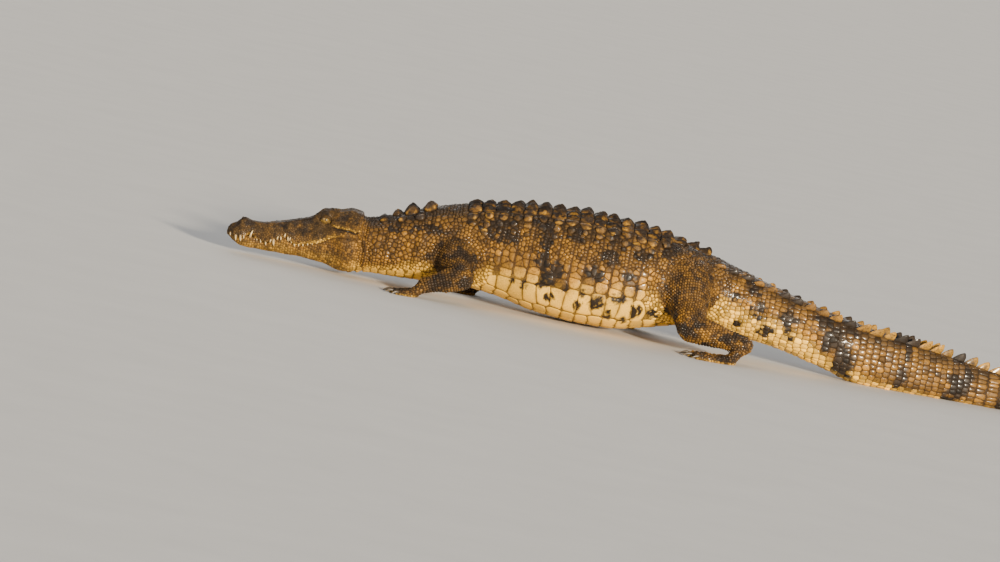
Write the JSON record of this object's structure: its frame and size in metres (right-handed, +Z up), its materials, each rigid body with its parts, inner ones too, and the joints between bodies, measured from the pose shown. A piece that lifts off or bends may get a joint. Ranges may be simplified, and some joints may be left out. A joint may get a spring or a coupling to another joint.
{
  "type": "nile crocodile",
  "caption": "Life-size Nile crocodile in mid stride on a low walk, head low, mouth closed, back shields and tail crest standing, tail laid on the floor.",
  "frame": {"origin": "centre of the bounding box at floor level", "axes": "+X runs from the snout to the tail, -X is the way the animal looks, -Y is its left side, +Z is up"},
  "size_m": [3.5696, 0.8244, 0.4361],
  "materials": {
    "hide": "wet horny scales, golden olive brown with dark blotches above, pale cream below",
    "claw_horn": "dark worn horn",
    "tooth": "ivory teeth, yellowed at the root",
    "eye": "wet golden eye with an upright slit pupil"
  },
  "bodies": {
    "root": {"eye_left": "eye", "eye_right": "eye", "foreleg_left_claw_1": "claw_horn", "foreleg_left_claw_2": "claw_horn", "foreleg_left_claw_3": "claw_horn", "foreleg_left_foot": "hide", "foreleg_left_lower": "hide", "foreleg_left_upper": "hide", "foreleg_right_claw_1": "claw_horn", "foreleg_right_claw_2": "claw_horn", "foreleg_right_claw_3": "claw_horn", "foreleg_right_foot": "hide", "foreleg_right_lower": "hide", "foreleg_right_upper": "hide", "head_upper": "hide", "hindleg_left_claw_1": "claw_horn", "hindleg_left_claw_2": "claw_horn", "hindleg_left_claw_3": "claw_horn", "hindleg_left_foot": "hide", "hindleg_left_lower": "hide", "hindleg_left_upper": "hide", "hindleg_right_claw_1": "claw_horn", "hindleg_right_claw_2": "claw_horn", "hindleg_right_claw_3": "claw_horn", "hindleg_right_foot": "hide", "hindleg_right_lower": "hide", "hindleg_right_upper": "hide", "jaw_lower": "hide", "neck": "hide", "tail_base": "hide", "tail_middle": "hide", "tail_tip": "hide", "trunk_front": "hide", "trunk_rear": "hide"}
  },
  "joints": []
}
